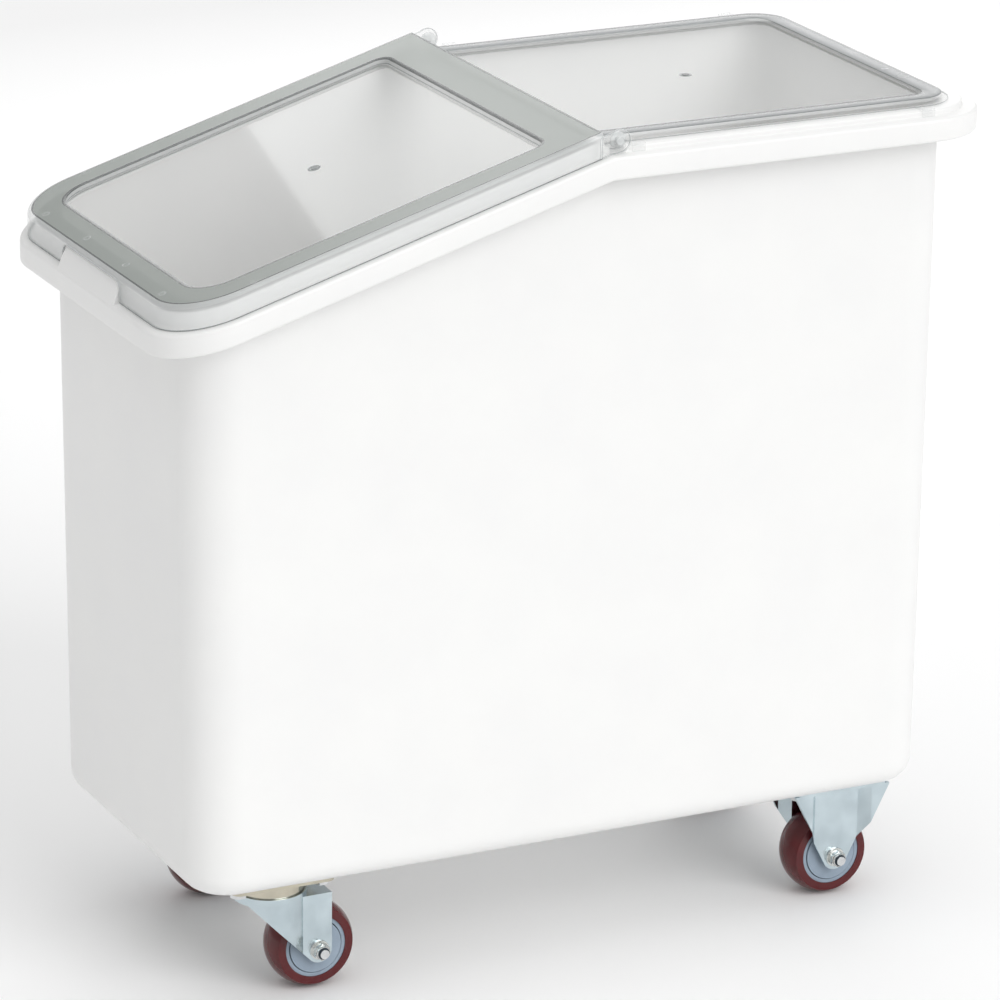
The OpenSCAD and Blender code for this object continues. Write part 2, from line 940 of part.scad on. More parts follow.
module spacers() {
    inner_half = hub_half - bearing_width - run_clearance;
    bore = bolt + 2 * run_clearance;
    color("gray") {
        axle_tube(-inner_half, inner_half, spacer, bore);
        for (m = [0, 1])
            mirror([0, m, 0])
                axle_tube(hub_half + run_clearance, leg_gap, spacer, bore);
    }
}

module bearings() {
    color("dimgray")
        for (m = [0, 1])
            mirror([0, m, 0])
                axle_tube(hub_half - bearing_width, hub_half, bearing_diameter, bolt + 2 * run_clearance);
}

module core() {
    hub_radius = bearing_diameter / 2 + core_rim;
    hub_inner = spacer / 2 + cover_gap;
    rim_inner = core_radius - core_rim;
    rim_half = tread_width / 2 - cover_gap;
    color("lightslategray")
        rotate([90, 0, 0])
            rotate_extrude()
                difference() {
                    union() {
                        translate([hub_inner, -hub_half])
                            square([hub_radius - hub_inner, 2 * hub_half]);
                        translate([hub_inner, -core_web / 2])
                            square([core_radius - hub_inner, core_web]);
                        translate([rim_inner, -rim_half])
                            square([core_rim, 2 * rim_half]);
                    }
                    for (w = [-hub_half - overlap, hub_half - bearing_width])
                        translate([0, w])
                            square([bearing_diameter / 2, bearing_width + overlap]);
                }
}

module covers() {
    outer = core_radius - core_rim - cover_gap;
    color("lightslategray")
        for (m = [0, 1])
            mirror([0, m, 0])
                rotate([90, 0, 0])
                    translate([0, 0, hub_half])
                        difference() {
                            cylinder(r = outer, h = cover);
                            translate([0, 0, -overlap])
                                cylinder(d = spacer + 2 * cover_gap, h = cover + 2 * overlap);
                        }
}

module tread() {
    color("maroon")
        rotate([90, 0, 0])
            rotate_extrude()
                intersection() {
                    translate([core_radius, -tread_width / 2])
                        square([wheel_radius - core_radius, tread_width]);
                    translate([wheel_radius - tread_crown, 0])
                        circle(tread_crown);
                }
}

// Places of the casters, with the lock nuts on the outer side
module at_front_caster(side) {
    translate([-front_reach, side * half_track, 0])
        mirror([0, side == left ? 1 : 0, 0])
            children();
}

module at_front_wheel(side) {
    at_front_caster(side)
        translate([trail, 0, wheel_radius])
            children();
}

module at_rear_caster(side) {
    translate([rear_reach, side * half_track, 0])
        mirror([0, side == left ? 1 : 0, 0])
            children();
}

module at_rear_wheel(side) {
    at_rear_caster(side)
        translate([0, 0, wheel_radius])
            children();
}

tub();
front_lid();
rear_lid();
caster_bolts();
caster_washers();
caster_dome_nuts();
at_front_caster(right) swivel_plate();  // swivel_plate_right
at_front_caster(left) swivel_plate();  // swivel_plate_left
at_front_caster(right) kingpin_piece();  // kingpin_right
at_front_caster(left) kingpin_piece();  // kingpin_left
at_front_caster(right) kingpin_nut_piece();  // kingpin_nut_right
at_front_caster(left) kingpin_nut_piece();  // kingpin_nut_left
at_front_caster(right) swivel_fork();  // swivel_fork_right
at_front_caster(left) swivel_fork();  // swivel_fork_left
at_front_caster(right) race_balls();  // race_balls_right
at_front_caster(left) race_balls();  // race_balls_left
at_rear_caster(right) rigid_bracket();  // rigid_bracket_right
at_rear_caster(left) rigid_bracket();  // rigid_bracket_left
at_front_wheel(right) axle();  // front_axle_right
at_front_wheel(left) axle();  // front_axle_left
at_rear_wheel(right) axle();  // rear_axle_right
at_rear_wheel(left) axle();  // rear_axle_left
at_front_wheel(right) lock_nut();  // front_lock_nut_right
at_front_wheel(left) lock_nut();  // front_lock_nut_left
at_rear_wheel(right) lock_nut();  // rear_lock_nut_right
at_rear_wheel(left) lock_nut();  // rear_lock_nut_left
at_front_wheel(right) spacers();  // front_spacers_right
at_front_wheel(left) spacers();  // front_spacers_left
at_rear_wheel(right) spacers();  // rear_spacers_right
at_rear_wheel(left) spacers();  // rear_spacers_left
at_front_wheel(right) tread();  // front_tread_right
at_front_wheel(left) tread();  // front_tread_left
at_rear_wheel(right) tread();  // rear_tread_right
at_rear_wheel(left) tread();  // rear_tread_left
at_front_wheel(right) core();  // front_core_right
at_front_wheel(left) core();  // front_core_left
at_rear_wheel(right) core();  // rear_core_right
at_rear_wheel(left) core();  // rear_core_left
at_front_wheel(right) covers();  // front_covers_right
at_front_wheel(left) covers();  // front_covers_left
at_rear_wheel(right) covers();  // rear_covers_right
at_rear_wheel(left) covers();  // rear_covers_left
at_front_wheel(right) bearings();  // front_bearings_right
at_front_wheel(left) bearings();  // front_bearings_left
at_rear_wheel(right) bearings();  // rear_bearings_right
at_rear_wheel(left) bearings();  // rear_bearings_left
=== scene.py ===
import json
import math
import bpy
import numpy as np
from mathutils import Matrix, Vector


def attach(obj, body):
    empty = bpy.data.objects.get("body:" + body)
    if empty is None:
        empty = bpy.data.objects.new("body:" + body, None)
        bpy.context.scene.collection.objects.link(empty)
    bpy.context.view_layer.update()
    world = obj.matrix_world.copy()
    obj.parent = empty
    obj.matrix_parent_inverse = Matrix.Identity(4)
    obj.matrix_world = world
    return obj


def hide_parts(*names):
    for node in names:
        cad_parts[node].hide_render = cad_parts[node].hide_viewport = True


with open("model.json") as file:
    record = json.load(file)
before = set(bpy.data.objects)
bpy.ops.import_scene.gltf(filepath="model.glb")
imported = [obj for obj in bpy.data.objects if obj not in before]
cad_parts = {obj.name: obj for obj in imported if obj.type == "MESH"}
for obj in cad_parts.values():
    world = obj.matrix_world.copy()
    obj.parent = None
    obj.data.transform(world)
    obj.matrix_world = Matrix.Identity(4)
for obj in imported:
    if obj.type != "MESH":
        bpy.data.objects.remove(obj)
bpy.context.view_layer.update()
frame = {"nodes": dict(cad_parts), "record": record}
scene = bpy.context.scene
nodes = frame["nodes"]
MM = 0.001

# Sizes in millimetres, the same as in the part's source
HALF_L, HALF_W = 372.5, 191.0
BASE_Z, WALL, FLOOR = 106.0, 4.0, 6.0
DRAFT = math.tan(math.radians(0.4))
BASE_R, CORNER_R = 20.0, 40.0
RIM_R, FLANGE_Z, FLANGE_H = 60.0, 689.5, 19.5
LEDGE_Z = FLANGE_Z + FLANGE_H
SKIN, LEDGE, OVERHANG = 3.5, 13.0, 28.0
FRONT_LIP, REAR_LIP = 13.0, 4.8
RIDGE_X, STEP_X = 11.0, 8.0
SLOPE = math.tan(math.radians(16.5))
GAIN = (FLANGE_Z - BASE_Z) * DRAFT
BASE_L, BASE_W = HALF_L - OVERHANG - GAIN, HALF_W - OVERHANG - GAIN
PAD_HALF, PAD_R, PAD_LEAN = 60.0, 10.0, 2.5
FRONT_INSET, SKIRT, SHEET = 6.5, 2.5, 3.0
FRONT_RISE, SKIRT_GAP, LID_GAP = 21.5, 0.4, 0.3
FRONT_TOP = LEDGE_Z + FRONT_RISE
BACK_X = 4.0
PANEL_X0, PANEL_X1, PANEL_HALF = -335.0, -34.0, 155.0
PANEL_FRONT_R, PANEL_BACK_R, PANEL_DEPTH, PANEL_WALL = 28.0, 10.0, 5.0, 2.5
NOTCH_HALF, NOTCH_R = PAD_HALF + 2.0, 10.0
HINGE_X, HINGE_Z = 19.0, LEDGE_Z + 11.5
EAR_R, PIN_R, PIN_GAP, LUG_WALL = 10.0, 3.5, 0.05, 3.5
LUG_INSET, LUG_THICK, REAR_INSET, REAR_SHEET = 9.9, 2.2, 24.5, 2.2
REAR_FRONT = STEP_X + 0.9
REAR_LOW = LEDGE_Z + REAR_LIP + LID_GAP
REAR_TOP = REAR_LOW + REAR_SHEET
BEAD_OUT, BEAD_IN, BEAD_H = 5.5, 22.5, 3.2
TONGUE_HALF, TONGUE_X, HOOK_HALF, HOOK_GAP = 155.0, STEP_X - 12.0, 6.0, 6.0
TRACK_MARGIN, FRONT_MARGIN, REAR_MARGIN, TRAIL = 51.5, 83.5, 72.5, 35.0
HALF_TRACK = BASE_W - TRACK_MARGIN
FRONT_AXLE_X, REAR_AXLE_X = TRAIL + FRONT_MARGIN - BASE_L, BASE_L - REAR_MARGIN
AXLE_Z, LEG_FACE = 38.0, 23.5

# Places of the moulding marks on the lids
FRONT_GATE_X, REAR_GATE_X = -168, 174
BAND_MARKS = ((-355, 126), (-352, 42), (-299, 177))

# Steps round a corner, soft edge of a lid, and gap between rings that would else coincide at a straight end
ARC = 14
SOFT = 0.8
SLIVER = 0.03

# Degrees from which an edge is sharp, in the CAD nodes and the scene's own pieces, and the steel's bevel
CAD_SHARP, OWN_SHARP = 28, 35
BEVEL_WIDTH, BEVEL_FROM = 0.9, 50


def drop(x):
    """Fall of the rim below its ridge."""
    return np.minimum(0.0, x - RIDGE_X) * SLOPE


# Materials
def material(name, light, dark, roughness, metallic=0.0, alpha=1.0, scale=60.0, bump=0.0,
             bump_scale=400.0, rough_spread=0.06, specular=0.5, painted_light_along_x=None):
    """Principled look with noise in its colour and gloss. The optional ramp along X is painted light: it
    brightens the colour along X.
    """
    m = bpy.data.materials.new(name)
    m.use_nodes = True
    tree = m.node_tree
    tree.nodes.clear()
    out = tree.nodes.new("ShaderNodeOutputMaterial")
    bsdf = tree.nodes.new("ShaderNodeBsdfPrincipled")
    place = tree.nodes.new("ShaderNodeTexCoord").outputs["Object"]
    noise = tree.nodes.new("ShaderNodeTexNoise")
    noise.inputs["Scale"].default_value = scale
    noise.inputs["Detail"].default_value = 3.0
    ramp = tree.nodes.new("ShaderNodeValToRGB")
    for element, position, shade in zip(ramp.color_ramp.elements, (0.3, 0.7), (dark, light)):
        element.position = position
        element.color = (*shade, 1)
    spread = tree.nodes.new("ShaderNodeMapRange")
    spread.inputs["To Min"].default_value = max(0.0, roughness - rough_spread)
    spread.inputs["To Max"].default_value = min(1.0, roughness + rough_spread)
    link = tree.links.new
    link(place, noise.inputs["Vector"])
    link(noise.outputs["Fac"], ramp.inputs["Fac"])
    link(noise.outputs["Fac"], spread.inputs["Value"])
    colour = ramp.outputs["Color"]
    # Painted light: the colour is scaled brighter along X
    if painted_light_along_x:
        parts = tree.nodes.new("ShaderNodeSeparateXYZ")
        along = tree.nodes.new("ShaderNodeMapRange")
        for socket, value in zip(("From Min", "From Max", "To Min", "To Max"), painted_light_along_x):
            along.inputs[socket].default_value = value
        gain = tree.nodes.new("ShaderNodeVectorMath")
        gain.operation = "SCALE"
        link(place, parts.inputs["Vector"])
        link(parts.outputs["X"], along.inputs["Value"])
        link(colour, gain.inputs[0])
        link(along.outputs["Result"], gain.inputs["Scale"])
        colour = gain.outputs["Vector"]
    link(colour, bsdf.inputs["Base Color"])
    link(spread.outputs["Result"], bsdf.inputs["Roughness"])
    bsdf.inputs["Metallic"].default_value = metallic
    bsdf.inputs["Alpha"].default_value = alpha
    bsdf.inputs["Specular IOR Level"].default_value = specular
    if bump > 0:
        grain = tree.nodes.new("ShaderNodeTexNoise")
        grain.inputs["Scale"].default_value = bump_scale
        relief = tree.nodes.new("ShaderNodeBump")
        relief.inputs["Strength"].default_value = bump
        relief.inputs["Distance"].default_value = 0.0003
        link(place, grain.inputs["Vector"])
        link(grain.outputs["Fac"], relief.inputs["Height"])
        link(relief.outputs["Normal"], bsdf.inputs["Normal"])
    link(bsdf.outputs["BSDF"], out.inputs["Surface"])
    return m


def plated(name, light, dark, roughness, scale=120, bump=0.0):
    return material(name, light, dark, roughness, metallic=1.0, scale=scale, bump=bump)


WHITE = material("tub white", (0.88, 0.88, 0.87), (0.86, 0.86, 0.855), 0.38, scale=14, bump=0.06,
                 bump_scale=500)
CLEAR = material("lid clear", (0.86, 0.88, 0.88), (0.83, 0.85, 0.85), 0.10, alpha=0.10, scale=20)
# Border band of the front lid: its dark grey is partly the satin finish and partly painted shade of the dark
# gap under it, and the ramp along X paints it brighter towards the back
BAND_SATIN_AND_SHADE = material("lid satin band", (0.300, 0.325, 0.306), (0.290, 0.315, 0.296), 0.30, alpha=0.92, scale=9,
                rough_spread=0.02, painted_light_along_x=(-0.36, 0.0, 1.03, 1.08))
# Skirt of the front lid, whiter and less clear than the clear plastic: painted light standing in for the
# brightly lit white lip seen through it
SKIRT_PAINTED_LIGHT = material("lid skirt", (0.92, 0.94, 0.94), (0.89, 0.91, 0.91), 0.08, alpha=0.35, scale=20)
PANE = material("lid panel", (0.95, 0.97, 0.96), (0.92, 0.94, 0.93), 0.045, metallic=1.0, alpha=0.12,
                scale=12, rough_spread=0.01)
INNER = material("lid underside", (0.90, 0.92, 0.91), (0.87, 0.89, 0.88), 0.10, alpha=0.02, scale=12)
# Whitish, half clear look on the lids' rounded edges, recess and bead walls, ejector marks, hinge pins and
# lugs: painted highlight standing in for the reflection and refraction at these roundings
EDGE_PAINTED_HIGHLIGHT = material("lid edge", (0.90, 0.92, 0.92), (0.86, 0.88, 0.88), 0.08, alpha=0.42, scale=12)
# Grey lines on the clear lids, at their bottom edges, the recess wall, the bead's inner edge, the ear
# outlines and the gate marks: painted shade standing in for the dark refraction at these edges
LINE_PAINTED_SHADE = material("lid line", (0.30, 0.33, 0.33), (0.26, 0.29, 0.29), 0.20, alpha=0.60, scale=40)
# Near black lines along the front lid band's outer and inner edges, and the rear gate spot: painted shade
# standing in for the dark refraction there
DARK_PAINTED_SHADE = material("lid dark edge", (0.14, 0.15, 0.15), (0.11, 0.12, 0.12), 0.20, alpha=0.80, scale=40)
# Dark grey bead of the rear lid: partly the plastic's own slight grey, partly painted shade of the hollow
# under the bead
BEAD_TINT_AND_SHADE = material("rear lid bead", (0.195, 0.210, 0.214), (0.187, 0.202, 0.206), 0.25, alpha=0.88, scale=30)
BLUE_ZINC = plated("blue zinc", (0.60, 0.69, 0.73), (0.48, 0.56, 0.60), 0.22, scale=45, bump=0.05)
YELLOW_ZINC = plated("yellow zinc", (0.60, 0.56, 0.46), (0.48, 0.45, 0.37), 0.22, scale=50, bump=0.05)
BOLT = plated("bolt zinc", (0.72, 0.73, 0.74), (0.58, 0.59, 0.60), 0.24)
NUT = plated("nut zinc", (0.74, 0.75, 0.74), (0.58, 0.60, 0.58), 0.20)
NYLON = material("nut nylon ring", (0.03, 0.05, 0.07), (0.02, 0.035, 0.05), 0.45, scale=120)
TUBE = plated("spacer steel", (0.52, 0.53, 0.54), (0.42, 0.43, 0.44), 0.35)
STEEL = plated("bearing steel", (0.60, 0.61, 0.62), (0.50, 0.51, 0.52), 0.18)
TREAD = material("maroon tread", (0.105, 0.009, 0.011), (0.085, 0.007, 0.009), 0.16, scale=60, specular=0.42)
CORE = material("grey core", (0.30, 0.37, 0.45), (0.26, 0.325, 0.40), 0.34, scale=80, bump=0.05)

# Looks of the CAD nodes, with soft edges on the pressed steel
SLOT_LOOKS = {
    "tub_plastic": WHITE, "clear_lid": CLEAR, "blue_zinc": BLUE_ZINC, "yellow_zinc": YELLOW_ZINC,
    "plated_bolt": BOLT, "lock_nut": NUT, "spacer_steel": TUBE, "ball_steel": STEEL,
    "red_tread": TREAD, "wheel_core": CORE}
for part in frame["record"]["subparts"]:
    node = nodes[part["node"]]
    node.data.materials.clear()
    node.data.materials.append(SLOT_LOOKS[part["material_slot"]])
    node.data.shade_smooth()
    node.data.set_sharp_from_angle(angle=math.radians(CAD_SHARP))
    if part["node"].startswith(("swivel_fork", "rigid_bracket")):
        bevel = node.modifiers.new("soft edges", "BEVEL")
        bevel.width = BEVEL_WIDTH * MM
        bevel.segments = 3
        bevel.limit_method = "ANGLE"
        bevel.angle_limit = math.radians(BEVEL_FROM)
        bevel.harden_normals = True


# Meshes. Each mesh function gives points, faces and the look of each face
def mesh_object(name, mesh, body):
    verts, faces, face_looks = mesh
    looks = list(dict.fromkeys(face_looks))
    number = {look: i for i, look in enumerate(looks)}
    me = bpy.data.meshes.new(name)
    me.from_pydata([tuple(float(c) * MM for c in v) for v in verts], [], faces)
    for look in looks:
        me.materials.append(look)
    me.polygons.foreach_set("material_index", np.array([number[look] for look in face_looks], dtype=np.int32))
    me.shade_smooth()
    me.set_sharp_from_angle(angle=math.radians(OWN_SHARP))
    me.update()
    ob = bpy.data.objects.new(name, me)
    scene.collection.objects.link(ob)
    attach(ob, body)
    return ob


def tube(rings, looks, flip=False):
    """Skin through rings of equal length, the last joined to the first. looks has one entry a ring."""
    n, count = len(rings[0]), len(rings)
    faces, face_looks = [], []
    for k in range(count):
        a, b = k * n, (k + 1) % count * n
        for i in range(n):
            j = (i + 1) % n
            quad = (a + i, a + j, b + j, b + i)
            faces.append(quad[::-1] if flip else quad)
            face_looks.append(looks[k])
    return np.concatenate(rings), faces, face_looks


def loft(rings, looks):
    """Skin through rings, with a flat cap at each end instead of the last join."""
    verts, faces, face_looks = tube(rings, looks)
    n = len(rings[0])
    caps = [tuple(reversed(range(n))), tuple(range(len(verts) - n, len(verts)))]
    return verts, faces[:-n] + caps, face_looks[:-n] + [looks[0], looks[-1]]


def joined(meshes):
    """Several meshes as one."""
    verts, faces, looks, base = [], [], [], 0
    for v, f, m in meshes:
        verts.append(np.asarray(v, float))
        faces += [tuple(i + base for i in face) for face in f]
        looks += list(m)
        base += len(v)
    return np.concatenate(verts), faces, looks


def walk(x0, x1, half_y, r0, r1, xs, ys):
    """Corner centres and outward directions round an outline, anticlockwise from the +X end."""
    centres, ways = [], []

    def straight(cx, cy, way):
        centres.append((cx, cy))
        ways.append(way)

    def corner(cx, cy, start):
        for i in range(ARC + 1):
            t = math.radians(start + 90.0 * i / ARC)
            straight(cx, cy, (math.cos(t), math.sin(t)))

    for y in ys:
        straight(x1 - r1, y, (1, 0))
    corner(x1 - r1, half_y - r1, 0)
    for x in reversed(xs):
        straight(x, half_y - r0, (0, 1))
    corner(x0 + r0, half_y - r0, 90)
    for y in reversed(ys):
        straight(x0 + r0, y, (-1, 0))
    corner(x0 + r0, -half_y + r0, 180)
    for x in xs:
        straight(x, -half_y + r0, (0, -1))
    corner(x1 - r1, -half_y + r1, 270)
    return np.array(centres, float), np.array(ways, float)


def outline(x0, x1, half_y, r0, r1, xs, ys):
    """Points of an outline with one corner radius at each end."""
    centres, ways = walk(x0, x1, half_y, r0, r1, xs, ys)
    n = len(ys) + ARC + 1
    radius = np.full(len(centres), r1)
    radius[n:n + 2 * len(xs) + 2 * (ARC + 1) + len(ys)] = r0
    return centres + ways * radius[:, None]


def mirrored(half):
    """Stations on both sides of the middle."""
    return [-y for y in reversed(half)] + [0] + half


def stack(flat, z):
    return np.column_stack([flat, np.broadcast_to(z, (len(flat),))])


def arc_steps(r, count, start=0.0, end=90.0):
    """(r - r cos, r sin) pairs along a quarter round."""
    for i in range(count + 1):
        t = math.radians(start + (end - start) * i / count)
        yield r - r * math.cos(t), r * math.sin(t)


def full_turn(count):
    return np.linspace(0, 2 * math.pi, count, endpoint=False)


# Tub, as one skin from the underside out over the rim and down to the inner floor
def tub_mesh():
    xs = [-290, -220, -150, -80, -30, 0, 5, 7.5, 8.5, 11, 15, 40, 90, 150, 220, 290]
    ys = mirrored([25, 50, 75, 100])
    core_x, core_y = BASE_L - CORNER_R, BASE_W - CORNER_R
    wall_c, wall_way = walk(-core_x, core_x, core_y, 0, 0, xs, ys)
    rim_x, rim_y = HALF_L - RIM_R, HALF_W - RIM_R
    rim_c, rim_way = walk(-rim_x, rim_x, rim_y, 0, 0, xs, ys)
    flange_r, ledge_r, lip_r, mouth_r = 2.8, 2.5, 1.5, 2.0

    def level_at(level, x, on_lip):
        lip = np.where(x < STEP_X, FRONT_LIP, REAR_LIP) if on_lip else 0.0
        return level + drop(x) + lip

    def foot_ring(r, level):
        return stack(wall_c + wall_way * r, level)

    def wall_ring(level, inset, on_lip=False):
        """Ring on the drafted wall, in two steps because its width and its height depend on each other."""
        z = np.full(len(wall_c), float(level))
        for _ in range(2):
            flat = wall_c + wall_way * (CORNER_R + (z - BASE_Z) * DRAFT - inset)[:, None]
            z = level_at(level, flat[:, 0], on_lip)
        return stack(flat, z)

    def rim_ring(level, inset, on_lip=False):
        flat = rim_c + rim_way * (RIM_R - inset)
        return stack(flat, level_at(level, flat[:, 0], on_lip))

    rings = [foot_ring(CORNER_R - BASE_R + up, BASE_Z + back) for back, up in arc_steps(BASE_R, 7)]
    rings.append(wall_ring(FLANGE_Z - 2, 0))
    rings.append(wall_ring(LEDGE_Z - SKIN, 0))
    rings.append(rim_ring(LEDGE_Z - SKIN, SKIN))
    rings.append(rim_ring(FLANGE_Z + 0.8, SKIN))
    rings.append(rim_ring(FLANGE_Z + 0.2, SKIN - 0.3))
    rings += [rim_ring(FLANGE_Z + back, flange_r - up) for back, up in arc_steps(flange_r, 5)]
    rings += [rim_ring(LEDGE_Z - ledge_r + up, back) for back, up in arc_steps(ledge_r, 5)]
    rings.append(rim_ring(LEDGE_Z, LEDGE - lip_r))
    rings.append(rim_ring(LEDGE_Z + 0.4, LEDGE - 0.4))
    rings.append(rim_ring(LEDGE_Z + lip_r, LEDGE))
    rings += [rim_ring(LEDGE_Z - lip_r + up, LEDGE + back, True) for back, up in arc_steps(lip_r, 4)]
    rings += [wall_ring(LEDGE_Z - back, WALL - mouth_r + up, True) for back, up in arc_steps(mouth_r, 4)]
    rings += [foot_ring(CORNER_R - BASE_R + up, BASE_Z + FLOOR + back)
              for back, up in arc_steps(BASE_R - WALL, 7, 90, 0)]
    return loft(rings, [WHITE] * len(rings))


# Finger pad in the front rim, a face that rises smoothly from the flange and leans in to the lid
def pad_mesh():
    top = FRONT_TOP - SHEET - LID_GAP + drop(-HALF_L + FRONT_INSET)
    ledge = LEDGE_Z + drop(-HALF_L)
    start, bend, soft = ledge - 8.0, 12.0, 2.0
    face, head = -HALF_L - 0.05, -HALF_L + FRONT_INSET + PAD_LEAN
    rate = (head - face) / (top - start - bend / 2)
    back = -HALF_L + LEDGE + WALL
    levels = [ledge - 14.0] + list(np.linspace(start, start + bend, 8)) + [start + bend + 4.0]
    levels += [top - PAD_R * (1 - math.sin(math.radians(t))) for t in range(0, 91, 6)]
    rings = []
    for z in levels:
        up = max(0.0, z - start)
        x = face + (rate * up * up / (2 * bend) if up < bend else rate * (up - bend / 2))
        x += 0.1 if z < start else 0.0
        x += soft - math.sqrt(max(0.0, soft ** 2 - max(0.0, z - top + soft) ** 2))
        half = PAD_HALF - PAD_R + math.sqrt(max(0.0, PAD_R ** 2 - max(0.0, z - top + PAD_R) ** 2))
        ring = [(back, half, z)]
        for i in range(6):
            t = math.radians(90.0 + 18.0 * i)
            ring.append((x + soft + soft * math.cos(t), half - soft + soft * math.sin(t), z))
        ring += [(px, -py, pz) for px, py, pz in reversed(ring)]
        rings.append(np.array(ring))
    return loft(rings, [WHITE] * len(rings))


# Front lid, from the underside of the panel out under the band, round the skirt and back over the band
def front_lid_mesh():
    xs = [-300, -240, -180, -120, -70, -60]
    ys = mirrored([10, 25, 40, 48, 52, 54, 56, 58, 59.5, 60.6, 61.4, 61.9, 62.3, 70, 90, 110, 125])
    back_count = len(ys) + ARC // 2
    rings, looks = [], []

    def ring(flat, depth, look, skirt=False):
        """Ring at a depth under the sloped top. A skirt ring stays up at the back and over the finger pad."""
        top_here = FRONT_TOP + drop(flat[:, 0])
        z = top_here - depth
        if skirt:
            open_back = np.zeros(len(flat), bool)
            open_back[:back_count] = True
            open_back[-(ARC // 2 + 1):] = True
            z = np.where(open_back, np.maximum(z, top_here - SHEET), z)
            y = np.abs(flat[:, 1])
            at_front = (flat[:, 0] < -HALF_L + FRONT_INSET + SKIRT + 1) & (y < NOTCH_HALF + 0.2)
            edge = np.sqrt(np.maximum(0, NOTCH_R ** 2 - np.maximum(0, y - NOTCH_HALF + NOTCH_R) ** 2))
            z = np.where(at_front, np.maximum(z, top_here - SHEET - NOTCH_R + edge), z)
        rings.append(stack(flat, z))
        looks.append(look)

    def outer(inset, back_in=0.0):
        return outline(-HALF_L + FRONT_INSET + inset, BACK_X - back_in, HALF_W - FRONT_INSET - inset,
                       RIM_R - FRONT_INSET - inset, SOFT, xs, ys)

    def recess(grow):
        return outline(PANEL_X0 - grow, PANEL_X1 + grow, PANEL_HALF + grow,
                       PANEL_FRONT_R + grow, PANEL_BACK_R + grow, xs, ys)

    low, top_r, under = FRONT_RISE - SKIRT_GAP, 3.0, PANEL_DEPTH + SHEET
    ring(recess(-1.0), under, INNER)
    ring(recess(PANEL_WALL - SOFT), under, INNER)
    ring(recess(PANEL_WALL), under - SOFT, INNER)
    ring(recess(PANEL_WALL), SHEET + SOFT, INNER)
    ring(recess(PANEL_WALL + SOFT), SHEET, INNER)
    ring(outer(SKIRT + SOFT, 4 * SLIVER), SHEET, INNER)
    ring(outer(SKIRT, 3 * SLIVER), SHEET + SOFT, INNER, True)
    # The grey and near black rings at the skirt's bottom, the band's edges and the recess are painted shade,
    # the whitish rings on the roundings are painted highlight, the whiter skirt ring is painted light, and
    # the band's grey is partly painted shade
    ring(outer(SKIRT, 2 * SLIVER), low, LINE_PAINTED_SHADE, True)
    ring(outer(0.4, SLIVER), low, LINE_PAINTED_SHADE, True)
    ring(outer(0.0), low - 0.4, LINE_PAINTED_SHADE, True)
    ring(outer(0.0), low - 1.0, SKIRT_PAINTED_LIGHT, True)
    ring(outer(0.0), top_r, EDGE_PAINTED_HIGHLIGHT)
    for back, up in list(arc_steps(top_r, 5))[1:]:
        ring(outer(back), top_r - up, EDGE_PAINTED_HIGHLIGHT)
    ring(outer(top_r + 0.4), 0.0, DARK_PAINTED_SHADE)
    ring(outer(top_r + 2.0, 1.8), 0.0, BAND_SATIN_AND_SHADE)
    ring(recess(3.2), 0.0, DARK_PAINTED_SHADE)
    ring(recess(1.0), 0.0, DARK_PAINTED_SHADE)
    ring(recess(0.3), 0.3, DARK_PAINTED_SHADE)
    ring(recess(0.0), 1.0, EDGE_PAINTED_HIGHLIGHT)
    ring(recess(0.0), PANEL_DEPTH - 1.0, LINE_PAINTED_SHADE)
    ring(recess(-0.3), PANEL_DEPTH - 0.3, EDGE_PAINTED_HIGHLIGHT)
    ring(recess(-1.0), PANEL_DEPTH, PANE)
    ring(recess(-6.0), PANEL_DEPTH, PANE)
    return loft(rings, looks)


def ear_mesh(side):
    """Hinge ear with its bore, as rings round the hinge axis."""
    root = BACK_X - 3
    foot = LEDGE_Z + SKIRT_GAP
    places = [(root, foot + drop(root)), (RIDGE_X, foot), (HINGE_X, HINGE_Z - EAR_R),
              (HINGE_X, HINGE_Z + EAR_R), (root, FRONT_TOP - SHEET + drop(root))]
    corners = [(x - HINGE_X, z - HINGE_Z) for x, z in places]
    edges = list(zip(corners, corners[1:] + corners[:1]))

    def reach(t):
        """Way from the axis to the edge of the ear: round behind, straight edges in front."""
        c, s = math.cos(t), math.sin(t)
        best = EAR_R
        if c >= 0:
            return best
        for (ax, az), (bx, bz) in edges:
            ex, ez = bx - ax, bz - az
            det = c * ez - s * ex
            if abs(det) < 1e-9:
                continue
            d = (ax * ez - az * ex) / det
            f = (ax * s - az * c) / det
            if d > 0 and -1e-9 <= f <= 1 + 1e-9:
                best = max(best, d)
        return best

    def around(y, shrink=0.0, r=None):
        return np.array([(HINGE_X + d * math.cos(t), side * y, HINGE_Z + d * math.sin(t))
                         for t in full_turn(72) for d in [r or reach(t) - shrink]])

    y0, y1 = HALF_W - FRONT_INSET - SKIRT, HALF_W - FRONT_INSET + 0.5
    bore = PIN_R + PIN_GAP
    rings = [around(y0, r=bore), around(y0, 0.5), around(y0 + 0.5), around(y1 - 0.7), around(y1 - 0.2, 0.2),
             around(y1, 0.7), around(y1, r=bore)]
    # The grey outline rings are painted shade and the whitish rings are painted highlight
    return tube(rings, (CLEAR, LINE_PAINTED_SHADE, EDGE_PAINTED_HIGHLIGHT, LINE_PAINTED_SHADE, EDGE_PAINTED_HIGHLIGHT, CLEAR, EDGE_PAINTED_HIGHLIGHT), side > 0)


